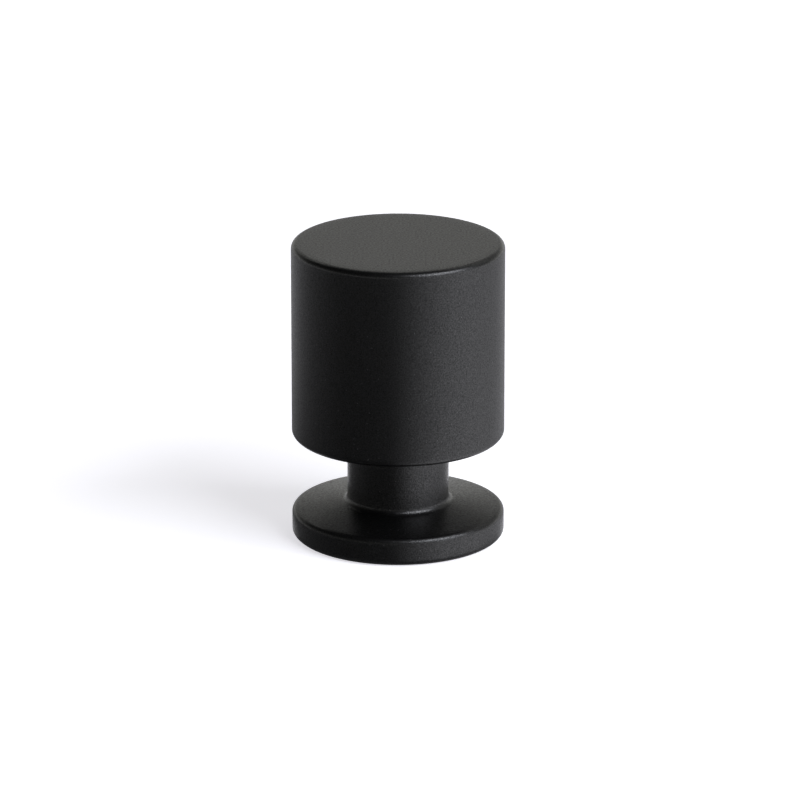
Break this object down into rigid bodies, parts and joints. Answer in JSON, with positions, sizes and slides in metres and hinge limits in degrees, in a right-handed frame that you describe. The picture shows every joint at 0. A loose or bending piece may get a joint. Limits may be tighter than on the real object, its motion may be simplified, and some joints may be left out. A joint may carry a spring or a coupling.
{
  "type": "cabinet knob",
  "caption": "Cylindrical knob in one metal piece for a door or drawer front: round head on a short neck above a disc base, with a tapped screw hole under the base.",
  "frame": {"origin": "centre of the base's seat face, where the knob meets the furniture front", "axes": "+Z along the knob's axis, away from the furniture front and towards the head"},
  "size_m": [0.025, 0.025, 0.0356],
  "materials": {
    "black_coat": "matte"
  },
  "bodies": {
    "root": {"knob": "black_coat"}
  },
  "joints": []
}
